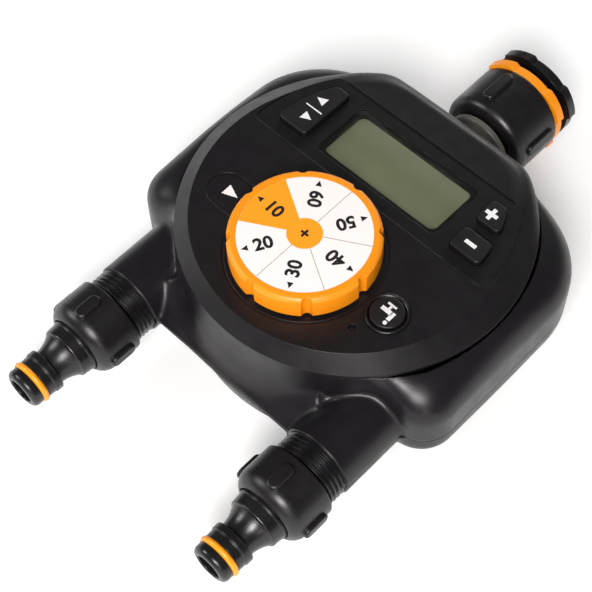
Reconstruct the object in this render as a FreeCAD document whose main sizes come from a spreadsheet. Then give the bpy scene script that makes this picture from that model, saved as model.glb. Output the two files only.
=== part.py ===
import FreeCAD, Part
import math
import os

# Two-outlet drip irrigation timer.
# Frame: +X to the right of the face, +Y towards the water inlet, +Z out of the face.
# The origin is under the middle of the timer, in the plane of its flat back.

V = FreeCAD.Vector
doc = FreeCAD.newDocument("drip_timer")
sheet = doc.addObject("Spreadsheet::Sheet", "sizes")

SIZES = {
    # heights above the back
    "face_z": 58.0,
    "pipe_z": 26.8,
    "crease_z": 52.0,
    "cap_foot_z": 50.4,
    "shoulder_z": 38.0,
    "seam_gap": 0.15,
    # dial
    "dial_y": -17.2,
    "dial_radius": 26.2,
    "dial_foot": 0.8,
    "dial_height": 10.8,
    "dial_wall": 2.6,
    "dial_crown": 2.6,
    "notch_count": 8.0,
    "notch_width": 3.8,
    "notch_depth": 1.6,
    "label_radius": 22.9,
    "label_thick": 0.3,
    "well_radius": 28.4,
    "well_depth": 0.5,
    "shaft_radius": 3.0,
    # round front cap
    "cap_y": 8.1,
    "cap_radius": 63.1,
    "cap_top_y": 62.8,
    "cap_corner": 14.0,
    "face_y": 5.3,
    "face_radius": 55.8,
    "face_top_y": 56.8,
    "face_corner": 22.0,
    "cap_wall": 2.4,
    # housing sides
    "side_half": 71.2,
    "top_corner": 31.0,
    "web_y": -60.2,
    "wall": 2.4,
    "back_radius": 56.0,
    # panel with the display
    "panel_low_y": 12.0,
    "panel_top_y": 46.2,
    "panel_arc_y": 13.8,
    "panel_arc_radius": 53.2,
    "panel_corner": 3.0,
    "panel_depth": 1.4,
    "panel_sink": 0.3,
    "panel_gap": 0.15,
    "lcd_y": 29.16,
    "lcd_wide": 54.6,
    "lcd_high": 24.7,
    "lcd_corner": 2.8,
    # keys
    "key_rise": 1.8,
    "key_gap": 0.25,
    "key_arc_y": 16.7,
    "key_arc_radius": 46.2,
    "key_inner_x": 33.3,
    "key_low_y": 17.3,
    "key_top_y": 41.2,
    "minus_top_y": 26.6,
    "plus_low_y": 31.4,
    "key_foot_z": 54.4,
    "tap_x": 36.5,
    "tap_y": -16.6,
    "tap_ring": 7.8,
    "reset_x": 31.6,
    "reset_y": -28.3,
    "reset_radius": 1.3,
    # pointer pad left of the dial
    "pad_end_x": 37.3,
    "pad_half": 7.3,
    "pad_depth": 0.4,
    # outlets
    "outlet_x": 46.04,
    "tube_radius": 13.85,
    "tube_bore": 12.55,
    "pipe_radius": 12.1,
    "pipe_bore": 8.5,
    "thread_radius": 13.22,
    "thread_pitch": 1.814,
    "thread_end_y": -76.2,
    "nut_radius": 14.8,
    "nut_bore": 13.4,
    "nut_back_y": -68.7,
    "nut_front_y": -85.7,
    "nut_throat": 10.9,
    "collar_radius": 10.1,
    "nose_neck": 6.8,
    "nose_flange": 8.2,
    "nose_barrel": 7.7,
    "nose_bore": 4.75,
    "nose_tip_y": -111.1,
    "oring_y": -105.9,
    "oring_radius": 8.37,
    # inlet
    "inlet_nut_radius": 18.3,
    "inlet_nut_y": 78.3,
    "inlet_nut_length": 22.0,
    "inlet_nut_bore": 16.75,
    "spigot_radius": 10.6,
    "spigot_bore": 8.8,
    "big_thread": 16.5,
    "big_thread_core": 15.4,
    "big_thread_pitch": 2.309,
    "big_ring_radius": 19.4,
    "big_ring_y": 100.6,
    "big_ring_thick": 3.7,
    "small_ring_radius": 19.2,
    "small_ring_y": 107.3,
    "small_ring_thick": 3.8,
    "lobe_rise": 1.4,
    "lobe_half_angle": 19.0,
    "lobe_slope_angle": 4.0,
    "big_ring_turn": -37.0,
    "small_ring_turn": -27.5,
    "tap_thread_bore": 9.3,
    # inside
    "board_z": 48.0,
    "board_thick": 1.6,
    "cell_radius": 7.25,
    "cell_length": 50.5,
    "battery_y": -17.0,
    "branch_y": 28.0,
    "coil_y": 9.6,
    "coil_radius": 8.5,
    "screw_radius": 1.45,
    "boss_radius": 4.0,
    "screw_head_radius": 2.6,
    "head_bore": 2.9,
    "manifold_radius": 9.5,
    "manifold_bore": 7.5,
    "branch_bore": 9.55,
    "coil_bore": 3.3,
    "armature_radius": 3.2,
    "bay_wide": 61.0,
    "bay_deep": 34.0,
}

for row, (alias, value) in enumerate(SIZES.items(), start=1):
    sheet.set("A%d" % row, alias)
    sheet.set("B%d" % row, str(value))
    sheet.setAlias("B%d" % row, alias)
doc.recompute()


def size(alias):
    return float(getattr(sheet, alias))


NODES = []


def node(obj, label):
    """Keep obj as the sub-part called label."""
    obj.Label = label
    NODES.append(obj)
    return obj


def bind(obj, **values):
    for prop, value in values.items():
        obj.setExpression(prop, value)


def place(obj, x="0", y="0", z="0", turn=None):
    """Put obj at x, y, z, each an expression on the sheet."""
    if turn is not None:
        obj.Placement = FreeCAD.Placement(V(), turn)
    obj.setExpression("Placement.Base.x", x)
    obj.setExpression("Placement.Base.y", y)
    obj.setExpression("Placement.Base.z", z)
    return obj


TURNS = {
    "z": FreeCAD.Rotation(),
    "y": FreeCAD.Rotation(V(1, 0, 0), -90),
    "x": FreeCAD.Rotation(V(0, 1, 0), 90),
}


def rod(radius, length, x="0", y="0", z="0", along="z"):
    """A cylinder that starts at x, y, z and runs in the positive direction."""
    obj = doc.addObject("Part::Cylinder", "rod")
    bind(obj, Radius=radius, Height=length)
    return place(obj, x, y, z, TURNS[along])


def block(wide, deep, high, x="0", y="0", z="0"):
    """A box centred on x and y that stands on z."""
    obj = doc.addObject("Part::Box", "block")
    bind(obj, Length=wide, Width=deep, Height=high)
    return place(obj, "%s - (%s) / 2" % (x, wide), "%s - (%s) / 2" % (y, deep), z)


def hoop(radius, thick, x="0", y="0", z="0", along="z"):
    obj = doc.addObject("Part::Torus", "hoop")
    bind(obj, Radius1=radius, Radius2=thick)
    return place(obj, x, y, z, TURNS[along])


def join(*parts):
    obj = doc.addObject("Part::MultiFuse", "join")
    obj.Shapes = list(parts)
    obj.Refine = False
    return obj


def cut(base, *tools):
    obj = doc.addObject("Part::Cut", "cut")
    obj.Base = base
    obj.Refine = False
    obj.Tool = tools[0] if len(tools) == 1 else join(*tools)
    return obj


def shaped(shape):
    """A feature whose shape is worked out from the sheet by the functions below."""
    bare = shape.copy()
    bare.Placement = FreeCAD.Placement()
    obj = doc.addObject("Part::Feature", "shaped")
    obj.Shape = bare.transformed(shape.Placement.toMatrix(), True)
    obj.Placement = FreeCAD.Placement()
    return obj


def turned(profile, x="0", y="0", z="0", along="y"):
    """Revolve a closed profile of (radius, station) points about the axis along y or z.
    A point of four numbers is the end of an arc: radius and station of its middle, then of its end."""
    sketch = doc.addObject("Sketcher::SketchObject", "profile")
    last = profile[-1]
    for point in profile:
        end = V(point[-2], point[-1], 0)
        start = V(last[-2], last[-1], 0)
        if len(point) == 4:
            sketch.addGeometry(Part.Arc(start, V(point[0], point[1], 0), end))
        else:
            sketch.addGeometry(Part.LineSegment(start, end))
        last = point
    obj = doc.addObject("Part::Revolution", "turned")
    obj.Source = sketch
    obj.Axis = V(0, 1, 0)
    obj.Base = V()
    obj.Angle = 360
    obj.Solid = True
    tilt = FreeCAD.Rotation(V(1, 0, 0), 90) if along == "z" else FreeCAD.Rotation()
    return place(obj, x, y, z, tilt)


# ---------------------------------------------------------------- outlines

def mirrored_wire(half, bottom_y, height):
    """A closed outline, symmetric about x = 0. half runs down the right side from the top line:
    corner points with the middle of the arc between each pair. The last arc passes under
    x = 0 at bottom_y."""
    corners = half[0::2]
    middles = half[1::2]
    edges = [Part.LineSegment(V(-corners[0][0], corners[0][1], height),
                              V(corners[0][0], corners[0][1], height)).toShape()]
    for start, middle, end in zip(corners, middles, corners[1:]):
        edges.append(arc3(start, middle, end, height))
    last = corners[-1]
    edges.append(arc3(last, (0, bottom_y), (-last[0], last[1]), height))
    for start, middle, end in reversed(list(zip(corners, middles, corners[1:]))):
        edges.append(arc3((-end[0], end[1]), (-middle[0], middle[1]), (-start[0], start[1]), height))
    return Part.Wire(edges)


def arc3(start, middle, end, height):
    a = V(start[0], start[1], height)
    b = V(middle[0], middle[1], height)
    c = V(end[0], end[1], height)
    turn = (b - a).cross(c - b).Length
    if turn < 1e-6:
        return Part.LineSegment(a, c).toShape()
    return Part.Arc(a, b, c).toShape()


def polar(centre, radius, degrees):
    angle = math.radians(degrees)
    return (centre[0] + radius * math.cos(angle), centre[1] + radius * math.sin(angle))


def cut_circle(centre_y, radius, top_y, corner, inset=0.0):
    """The half outline of a circle cut flat at top_y, with rounded corners."""
    radius -= inset
    top_y -= inset
    corner -= inset
    corner_y = top_y - corner
    corner_x = math.sqrt((radius - corner) ** 2 - (corner_y - centre_y) ** 2)
    start = math.degrees(math.atan2(corner_y - centre_y, corner_x))
    centre = (0, centre_y)
    middle = (start + 90) / 2
    half = [(corner_x, top_y), polar((corner_x, corner_y), corner, middle)]
    stops = [start, -20, -50]
    for first, second in zip(stops, stops[1:]):
        half.append(polar(centre, radius, first))
        half.append(polar(centre, radius, (first + second) / 2))
    half.append(polar(centre, radius, stops[-1]))
    return half, centre_y - radius


def cap_wire(height, inset=0.0):
    half, bottom = cut_circle(size("cap_y"), size("cap_radius"), size("cap_top_y"),
                              size("cap_corner"), inset)
    return mirrored_wire(half, bottom, height)


def face_wire(height, inset=0.0):
    half, bottom = cut_circle(size("face_y"), size("face_radius"), size("face_top_y"),
                              size("face_corner"), inset)
    return mirrored_wire(half, bottom, height)


def side_wire(height, half_width, reach, bottom_y, inset=0.0):
    """The outline of the housing where its sides bulge past the cap: straight flanks, big upper
    corners and lower corners that run in to the outlet tubes at the point reach."""
    wide = half_width - inset
    top = size("cap_top_y") - 1.5 - inset
    corner = size("top_corner") - inset
    centre = (wide - corner, top - corner)
    shoulder = (wide, -6.0)
    low = (wide - 4.6, -29.6 + inset)
    half = [(centre[0], top), polar(centre, corner, 45), (wide, centre[1]),
            (wide, (centre[1] + shoulder[1]) / 2), shoulder,
            (wide - 0.9, -19.0), low,
            (wide - 9.6, -35.6 + inset), (reach[0] - inset, reach[1] + inset)]
    return mirrored_wire(half, bottom_y + inset, height)


def cap_loft(lower_z, upper_z, inset):
    """Between the cap's crease and the edge of its flat face."""
    return Part.makeLoft([cap_wire(lower_z, inset), face_wire(upper_z, inset)], True, True)


def prism(wire, height):
    return Part.Face(wire).extrude(V(0, 0, height))


def front_skirt(inset, foot_z, head_z):
    """The front housing from the seam up to the cap, as a smooth loft over three outlines."""
    foot = side_wire(foot_z, size("side_half"), (39.0, size("web_y")), size("web_y"), inset)
    shoulder = side_wire(size("shoulder_z"), size("side_half") - 0.9, (40.0, -42.6), -56.2, inset)
    head_half, head_bottom = cut_circle(size("cap_y"), size("cap_radius") - 0.4,
                                        size("cap_top_y") - 0.4, size("cap_corner"), inset)
    corners = head_half[0::2]
    centre = (0, size("cap_y"))
    radius = size("cap_radius") - 0.4 - inset
    start = math.degrees(math.atan2(corners[1][1] - centre[1], corners[1][0]))
    stops = [start, 5, -28, -55]
    half = [corners[0], head_half[1]]
    for first, second in zip(stops, stops[1:]):
        half.append(polar(centre, radius, first))
        half.append(polar(centre, radius, (first + second) / 2))
    half.append(polar(centre, radius, stops[-1]))
    head = mirrored_wire(half, centre[1] - radius, head_z)
    return Part.makeLoft([foot, shoulder, head], True, True)


def rear_skirt(inset, head_z, back_z):
    """The rear housing: the seam outline drawn in to a round drum with a rounded back edge."""
    half = size("side_half") - 0.3
    seam = side_wire(head_z, half, (39.0, size("web_y")), size("web_y"), inset)
    flank = side_wire(19.0, half - 2.2, (40.0, -44.0), -57.4, inset)
    drum = drum_wire(11.0, 62.7, inset)
    steps = [(size("back_radius"), 0.0), (60.4, 3.0), (62.3, 7.5)]
    lower = [drum_wire(height + back_z, radius, inset) for radius, height in steps]
    return Part.makeLoft(lower + [drum, flank, seam], True, True)


def drum_wire(height, radius, inset):
    half, bottom = cut_circle(size("cap_y"), radius, size("cap_top_y") + radius - 64.0, 24.0, inset)
    corners = half[0::2]
    centre = (0, size("cap_y"))
    start = math.degrees(math.atan2(corners[1][1] - centre[1], corners[1][0]))
    stops = [start, 0, -28, -55]
    round_half = [half[0], half[1]]
    for first, second in zip(stops, stops[1:]):
        round_half.append(polar(centre, radius - inset, first))
        round_half.append(polar(centre, radius - inset, (first + second) / 2))
    round_half.append(polar(centre, radius - inset, stops[-1]))
    return mirrored_wire(round_half, centre[1] - radius + inset, height)


def slab(low_y, high_y, arc_y, arc_radius, foot_z, high, corner, inner_x=None, grow=0.0):
    """A plate between two straight edges and an arc about (0, arc_y). Without inner_x it is
    symmetric. With it the plate lies on that side, from inner_x out to the arc."""
    radius = arc_radius + grow
    low = low_y - grow
    top = high_y + grow
    low_x = math.sqrt(radius ** 2 - (low - arc_y) ** 2)
    top_x = math.sqrt(radius ** 2 - (top - arc_y) ** 2)
    middle_y = (low + top) / 2
    middle_x = math.sqrt(radius ** 2 - (middle_y - arc_y) ** 2)
    near = -low_x if inner_x is None else inner_x - grow
    near_top = -top_x if inner_x is None else near
    edges = [
        Part.LineSegment(V(near, low, foot_z), V(low_x, low, foot_z)).toShape(),
        arc3((low_x, low), (middle_x, middle_y), (top_x, top), foot_z),
        Part.LineSegment(V(top_x, top, foot_z), V(near_top, top, foot_z)).toShape(),
    ]
    if inner_x is None:
        edges.append(arc3((-top_x, top), (-middle_x, middle_y), (-low_x, low), foot_z))
    else:
        edges.append(Part.LineSegment(V(near, top, foot_z), V(near, low, foot_z)).toShape())
    solid = prism(Part.Wire(edges), high)
    return solid.makeFillet(corner + grow, upright_edges(solid))


def upright_edges(solid):
    return [e for e in solid.Edges if e.BoundBox.XLength < 1e-3 and e.BoundBox.YLength < 1e-3]


def top_edges(solid):
    top = solid.BoundBox.ZMax
    return [e for e in solid.Edges if e.BoundBox.ZMin > top - 1e-3]


def plate(wide, deep, corner, centre_y, foot_z, high):
    """A rectangle with rounded corners, centred on x = 0."""
    solid = Part.makeBox(wide, deep, high, V(-wide / 2, centre_y - deep / 2, foot_z))
    return solid.makeFillet(corner, upright_edges(solid))


def capsule(half_width, end_x, foot_z, high):
    """The pointer pad: a round-ended slot from the dial's axis out to the left."""
    y = size("dial_y")
    edges = [
        Part.LineSegment(V(-end_x, y - half_width, foot_z), V(0, y - half_width, foot_z)).toShape(),
        Part.LineSegment(V(0, y - half_width, foot_z), V(0, y + half_width, foot_z)).toShape(),
        Part.LineSegment(V(0, y + half_width, foot_z), V(-end_x, y + half_width, foot_z)).toShape(),
        arc3((-end_x, y + half_width), (-end_x - half_width, y), (-end_x, y - half_width), foot_z),
    ]
    return prism(Part.Wire(edges), high)


def male_thread(core, crest, pitch, low_y, high_y):
    """A cylinder with a right-hand ridge round it, along Y."""
    length = high_y - low_y
    helix = Part.makeHelix(pitch, length + 2 * pitch, core)
    ridge = [V(core - 0.3, 0, -0.46 * pitch), V(crest, 0, -0.07 * pitch),
             V(crest, 0, 0.07 * pitch), V(core - 0.3, 0, 0.46 * pitch)]
    worm = Part.Wire(helix).makePipeShell([Part.makePolygon(ridge + [ridge[0]])], True, True)
    solid = Part.makeCylinder(core, length + 3 * pitch).fuse(worm)
    solid = solid.common(Part.makeCylinder(crest + 1, length, V(0, 0, pitch)))
    solid.translate(V(0, 0, -pitch))
    solid.rotate(V(), V(1, 0, 0), -90)
    solid.translate(V(0, low_y, 0))
    return solid


def grip_ribs(radius, rise, wide, low_y, high_y, count=4, start=0.0):
    """Round-ended ribs along Y, evenly spaced round a nut of this radius about the Y axis."""
    half = wide / 2
    foot = radius - 1.2
    edges = [
        Part.LineSegment(V(-half, low_y + half, foot), V(-half, high_y - half, foot)).toShape(),
        Part.Arc(V(-half, high_y - half, foot), V(0, high_y, foot), V(half, high_y - half, foot)).toShape(),
        Part.LineSegment(V(half, high_y - half, foot), V(half, low_y + half, foot)).toShape(),
        Part.Arc(V(half, low_y + half, foot), V(0, low_y, foot), V(-half, low_y + half, foot)).toShape(),
    ]
    rib = prism(Part.Wire(edges), rise + 1.2)
    rib = rib.makeFillet(0.9, top_edges(rib))
    ribs = []
    for number in range(count):
        turned_rib = rib.copy()
        turned_rib.rotate(V(), V(0, 1, 0), start + 360.0 / count * number)
        ribs.append(turned_rib)
    return ribs


def lobed_ring(radius, low_y, thick, bore, turn):
    """A finger ring about the Y axis: four raised lobes with sloping ends, the first at turn degrees."""
    low = radius - size("lobe_rise")
    crest = size("lobe_half_angle")
    foot = crest + size("lobe_slope_angle")
    corners = []
    for number in range(4):
        middle = turn + 90.0 * number
        corners.append([polar((0, 0), radius, middle + step) for step in (-crest, 0, crest)])
        corners.append([polar((0, 0), low, middle + step) for step in (foot, 45, 90 - foot)])
    edges = []
    for here, after in zip(corners, corners[1:] + corners[:1]):
        edges.append(arc3(*here, 0))
        edges.append(Part.LineSegment(V(*here[2], 0), V(*after[0], 0)).toShape())
    ring = prism(Part.Wire(edges), thick)
    ring = ring.makeChamfer(0.4, top_edges(ring))
    ring = ring.cut(Part.makeCylinder(bore, thick))
    ring.rotate(V(), V(1, 0, 0), -90)
    ring.translate(V(0, low_y, 0))
    return ring


def at(shape, x="0", y="0", z="0"):
    return place(shaped(shape), x, y, z)


SIDES = (("left", "-sizes.outlet_x", -1), ("right", "sizes.outlet_x", 1))
PIPE = "sizes.pipe_z"

# ---------------------------------------------------------------- front cap

face = size("face_z")
wall = size("cap_wall")
cap_outer = shaped(cap_loft(size("crease_z"), face, 0.0).fuse(
    prism(cap_wire(size("cap_foot_z")), size("crease_z") - size("cap_foot_z"))))
cap_inner = shaped(Part.makeLoft([cap_wire(size("cap_foot_z") - 1, wall),
                                  cap_wire(size("crease_z") - 0.6, wall),
                                  face_wire(face - wall, wall - 1.0)], True, True))
lip_ring = prism(cap_wire(48.4, wall + 0.85), 3.0).fuse(prism(cap_wire(50.7, wall - 0.5), 0.7))
lip_ring = lip_ring.cut(prism(cap_wire(48.0, wall + 1.9), 4.0))
POSTS = [(22, 49.5), (-22, 49.5), (22, -38.0), (-22, -38.0)]
posts = [rod("3", "6.2", str(x), str(y), "sizes.board_z + sizes.board_thick") for x, y in POSTS]
post_holes = [rod("1.15", "6", str(x), str(y), "sizes.board_z") for x, y in POSTS]
window = at(plate(size("lcd_wide"), size("lcd_high"), size("lcd_corner"), size("lcd_y"), face - 6, 8))
PANEL = (size("panel_low_y"), size("panel_top_y"), size("panel_arc_y"), size("panel_arc_radius"))
panel_bed = at(slab(*PANEL, face - size("panel_depth") - size("panel_sink"), 3, size("panel_corner")))
KEYS = {
    "plus": (size("plus_low_y"), size("key_top_y"), 1),
    "minus": (size("key_low_y"), size("minus_top_y"), 1),
    "lr": (size("key_low_y"), size("key_top_y"), -1),
}


def key_slab(name, foot_z, high, grow):
    low, top, side = KEYS[name]
    solid = slab(low, top, size("key_arc_y"), size("key_arc_radius"), foot_z, high, 1.8,
                 size("key_inner_x"), grow)
    if side < 0:
        solid = solid.mirror(V(), V(1, 0, 0))
    return solid


def key_holes():
    return [at(key_slab(name, face - 6, 8, size("key_gap"))) for name in KEYS]


# The dial sits in a shallow round well with a fine raised step near its rim.
well = ("0", "sizes.dial_y", "sizes.face_z - sizes.well_depth")
cap_well = rod("sizes.well_radius", "2", *well)
cap_step = cut(rod("sizes.well_radius - 0.7", "0.35", *well), rod("sizes.well_radius - 1.5", "1", *well))
pad_bed = at(capsule(size("pad_half"), size("pad_end_x"), face - size("pad_depth"), 2))
cap_shell = cut(join(cut(cap_outer, cap_inner), shaped(lip_ring), *posts), window, panel_bed, cap_well,
                pad_bed, *key_holes(), *post_holes,
                rod("3.4", "8", "0", "sizes.dial_y", "sizes.face_z - 6"),
                rod("4.9", "2", "0", "sizes.dial_y", "sizes.face_z - sizes.well_depth - 0.9"),
                rod("sizes.tap_ring + 0.05", "8", "sizes.tap_x", "sizes.tap_y", "sizes.face_z - 6"),
                rod("sizes.reset_radius", "8", "sizes.reset_x", "sizes.reset_y", "sizes.face_z - 6"))
node(join(cap_shell, cap_step), "front_cap")

# ---------------------------------------------------------------- display and keys

panel_foot = face - size("panel_sink") - size("panel_depth")
panel = at(slab(*PANEL, panel_foot, size("panel_depth"), size("panel_corner"), None, -size("panel_gap")))
panel_window = at(plate(size("lcd_wide"), size("lcd_high"), size("lcd_corner"), size("lcd_y"), face - 6, 8))
node(cut(panel, panel_window, *key_holes()), "control_panel")


def lcd_plate(shrink, foot_z, high):
    return at(plate(size("lcd_wide") - shrink, size("lcd_high") - shrink, size("lcd_corner"),
                    size("lcd_y"), foot_z, high))


node(lcd_plate(0.4, face - 1.3, 0.7), "lcd_lens")
node(cut(join(lcd_plate(0.3, face - 2.6, 1.25), lcd_plate(-3.4, face - 3.0, 0.5)),
         lcd_plate(3.2, face - 5, 5)), "lcd_frame")
node(lcd_plate(-1.4, face - 5.4, 2.3), "lcd_glass")
node(lcd_plate(-1.4, 49.7, 2.8), "lcd_backlight")

for name, label in (("lr", "lr_button"), ("plus", "plus_button"), ("minus", "minus_button")):
    foot = size("key_foot_z")
    crown = key_slab(name, foot, face + size("key_rise") - foot, 0.0)
    crown = crown.makeFillet(0.45, top_edges(crown))
    node(shaped(crown.fuse(key_slab(name, foot, 0.9, 0.8))), label)

tap = ("sizes.tap_x", "sizes.tap_y")
ring = size("tap_ring")
node(turned([(6.15, 55.7), (ring, 55.7), (ring, face + 0.1),
             (ring - 0.25, face + 0.5, ring - 0.8, face + 0.6), (6.6, face + 0.35), (6.15, face - 0.2)],
            tap[0], tap[1], "0", "z"), "manual_button_ring")
node(turned([(0, 54.4), (7.2, 54.4), (7.2, 55.3), (6.0, 55.3), (6.0, face + 0.5),
             (5.85, face + 0.95, 5.3, face + 1.1), (0, face + 1.0)],
            tap[0], tap[1], "0", "z"), "manual_button")
node(turned([(0, 54.4), (2.1, 54.4), (2.1, 55.2), (1.15, 55.2), (1.15, face - 1.0), (0, face - 0.9)],
            "sizes.reset_x", "sizes.reset_y", "0", "z"), "reset_plunger")

board_edge = cut_circle(size("cap_y"), 55.0, 54.0, 12.0)[0]
board_wire = mirrored_wire(board_edge, size("cap_y") - 55.0, size("board_z"))
board_holes = [rod("1.4", "4", str(x), str(y), "sizes.board_z - 1") for x, y in POSTS]
node(cut(shaped(prism(board_wire, size("board_thick"))), *board_holes), "circuit_board")
node(join(*[join(rod("2.4", "1.5", str(x), str(y), "sizes.board_z - 1.5"),
                 rod("1.1", "6", str(x), str(y), "sizes.board_z - 0.5")) for x, y in POSTS]), "board_screws")
SWITCHES = [(-39.0, 24.0), (-37.5, 34.5), (38.5, 36.3), (39.5, 22.0),
            (size("tap_x"), size("tap_y")), (size("reset_x"), size("reset_y"))]
node(join(*[join(block("6", "6", "3.0", str(x), str(y), "49.6"),
                 rod("1.6", "3.8", str(x), str(y), "49.6")) for x, y in SWITCHES]), "key_switches")

# ---------------------------------------------------------------- dial

crown = face + size("dial_height")
edge = size("dial_radius")
foot = face + size("dial_foot")
knob_body = turned([(0, crown - 0.3), (22.95, crown - 0.3), (22.95, crown), (edge - 1.9, crown),
                    (edge - 0.55, crown - 0.55, edge, crown - 1.9), (edge, foot + 0.6), (edge - 0.6, foot),
                    (edge - size("dial_wall"), foot), (edge - size("dial_wall"), crown - size("dial_crown")),
                    (5.5, crown - size("dial_crown")), (5.5, foot + 0.3), (3.05, foot + 0.3),
                    (3.05, crown - 2.4), (0, crown - 2.4)], "0", "sizes.dial_y", "0", "z")
notches = []
for number in range(int(size("notch_count"))):
    angle = math.radians(360.0 / size("notch_count") * number)
    centre = edge + size("notch_width") / 2 - size("notch_depth")
    notches.append(rod("sizes.notch_width / 2", "12", "%.6f" % (centre * math.cos(angle)),
                       "sizes.dial_y + %.6f" % (centre * math.sin(angle)), "sizes.face_z"))
node(cut(knob_body, *notches), "dial_knob")
node(rod("sizes.label_radius", "sizes.label_thick", "0", "sizes.dial_y",
         "sizes.face_z + sizes.dial_height - sizes.label_thick"), "dial_label")
node(rod("sizes.shaft_radius", "15.8", "0", "sizes.dial_y", "50.4"), "dial_shaft")
node(hoop("3.95", "0.8", "0", "sizes.dial_y", "sizes.face_z - sizes.well_depth - 0.05"), "dial_seal")
node(cut(block("16", "16", "5.2", "0", "sizes.dial_y", "49.7"),
         rod("sizes.shaft_radius + 0.05", "6", "0", "sizes.dial_y", "50.3")), "rotary_switch")

# ---------------------------------------------------------------- housings

seam_up = size("pipe_z") + size("seam_gap")
seam_low = size("pipe_z") - size("seam_gap")
head_z = size("cap_foot_z") - 0.25
thick = size("wall")


def tubes(radius, start="sizes.web_y", length="46"):
    return [rod(radius, length, x, start, PIPE, "y") for side, x, sign in SIDES]


TOP_BOSS = (32.0, 50.0)
LOW_BOSS = (16.0, -45.5)
BOSSES = [(sign * x, y) for x, y in (TOP_BOSS, LOW_BOSS) for sign in (1, -1)]
front_bosses = [rod("sizes.boss_radius", "12", str(x), str(y), "27") for x, y in BOSSES]
front_webs = [block("1.6", "10", "10", str(sign * TOP_BOSS[0]), "54.5", "27") for sign in (1, -1)]
front_webs += [block("1.6", "10", "10", str(sign * LOW_BOSS[0]), "-50.5", "27") for sign in (1, -1)]
front_shell = cut(join(shaped(front_skirt(0.0, seam_up, head_z)), *tubes("sizes.tube_radius")),
                  shaped(front_skirt(thick, seam_up - 1, head_z + 1)))
node(cut(join(front_shell, *front_bosses, *front_webs),
         *tubes("sizes.tube_bore", "sizes.web_y - 1", "110"),
         rod("13.4", "30", "0", "45", PIPE, "y"),
         *[rod("sizes.screw_radius + 0.05", "11", str(x), str(y), "26") for x, y in BOSSES],
         block("160", "160", "20", "0", "0", "sizes.pipe_z + sizes.seam_gap - 20")), "front_housing")

BAY = ("sizes.bay_wide + 0.6", "sizes.bay_deep + 0.6")
rear_shell = cut(join(shaped(rear_skirt(0.0, seam_low, 0.0)), *tubes("sizes.tube_radius")),
                 shaped(rear_skirt(thick, seam_low + 1, thick)))
rear_bosses = [rod("sizes.boss_radius", "sizes.pipe_z - sizes.seam_gap - 1", str(x), str(y), "1")
               for x, y in BOSSES]
node(cut(join(rear_shell, *rear_bosses),
         *tubes("sizes.tube_bore", "sizes.web_y - 1", "110"),
         rod("13.4", "30", "0", "45", PIPE, "y"),
         *[rod("sizes.head_bore", "14", str(x), str(y), "-0.5") for x, y in BOSSES],
         *[rod("sizes.screw_radius + 0.15", "16", str(x), str(y), "13") for x, y in BOSSES],
         block(*BAY, "4", "0", "sizes.battery_y", "-1"),
         block("160", "160", "20", "0", "0", "sizes.pipe_z - sizes.seam_gap")), "rear_housing")
node(join(*[join(rod("sizes.screw_head_radius", "2", str(x), str(y), "11.5"),
                 rod("sizes.screw_radius", "21", str(x), str(y), "13")) for x, y in BOSSES]), "housing_screws")

gasket_wire = side_wire(seam_low, size("side_half"), (39.0, size("web_y")), size("web_y"), 0.8)
gasket_hole = side_wire(seam_low, size("side_half"), (39.0, size("web_y")), size("web_y"), 1.9)
gasket = prism(gasket_wire, 2 * size("seam_gap")).cut(prism(gasket_hole, 2 * size("seam_gap")))
node(cut(shaped(gasket), *tubes("sizes.tube_radius + 0.1", "sizes.web_y - 1", "40"),
         rod("13.4", "30", "0", "45", PIPE, "y")), "housing_gasket")

# ---------------------------------------------------------------- battery bay

node(cut(block("sizes.bay_wide", "sizes.bay_deep", "17.8", "0", "sizes.battery_y", "3.2"),
         block("58.4", "31.4", "17", "0", "sizes.battery_y", "2"),
         rod("1.6", "4", "27", "sizes.battery_y", "18", "z")), "battery_box")
node(join(*[rod("sizes.cell_radius", "sizes.cell_length", "-sizes.cell_length / 2",
                "sizes.battery_y + %s" % shift, "11", "x") for shift in ("8", "-8")]), "batteries")
contacts = []
for end in (1, -1):
    contacts.append(block("0.6", "30", "12", str(end * 28.6), "sizes.battery_y", "5"))
    tip_x = "25.4" if end > 0 else "-28.3"
    for shift in ("8", "-8"):
        contacts.append(rod("3", "2.9", tip_x, "sizes.battery_y + %s" % shift, "11", "x"))
node(join(*contacts), "battery_contacts")
node(block("sizes.bay_wide", "sizes.bay_deep", "2.0", "0", "sizes.battery_y", "0.3"), "battery_cover")
node(cut(block("sizes.bay_wide", "sizes.bay_deep", "0.7", "0", "sizes.battery_y", "2.4"),
         block("58.2", "31.2", "2", "0", "sizes.battery_y", "2")), "battery_gasket")

# ---------------------------------------------------------------- water path inside

manifold = join(rod("sizes.manifold_radius", "76", "-38", "sizes.branch_y", PIPE, "x"),
                rod("sizes.manifold_radius", "22", "0", "sizes.branch_y", PIPE, "y"),
                rod("12.7", "11", "0", "48", PIPE, "y"))
node(cut(manifold, rod("sizes.manifold_bore", "80", "-40", "sizes.branch_y", PIPE, "x"),
         rod("sizes.manifold_bore", "24", "0", "sizes.branch_y", PIPE, "y"),
         rod("sizes.spigot_radius + 0.05", "12", "0", "51", PIPE, "y")), "inlet_manifold")

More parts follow.
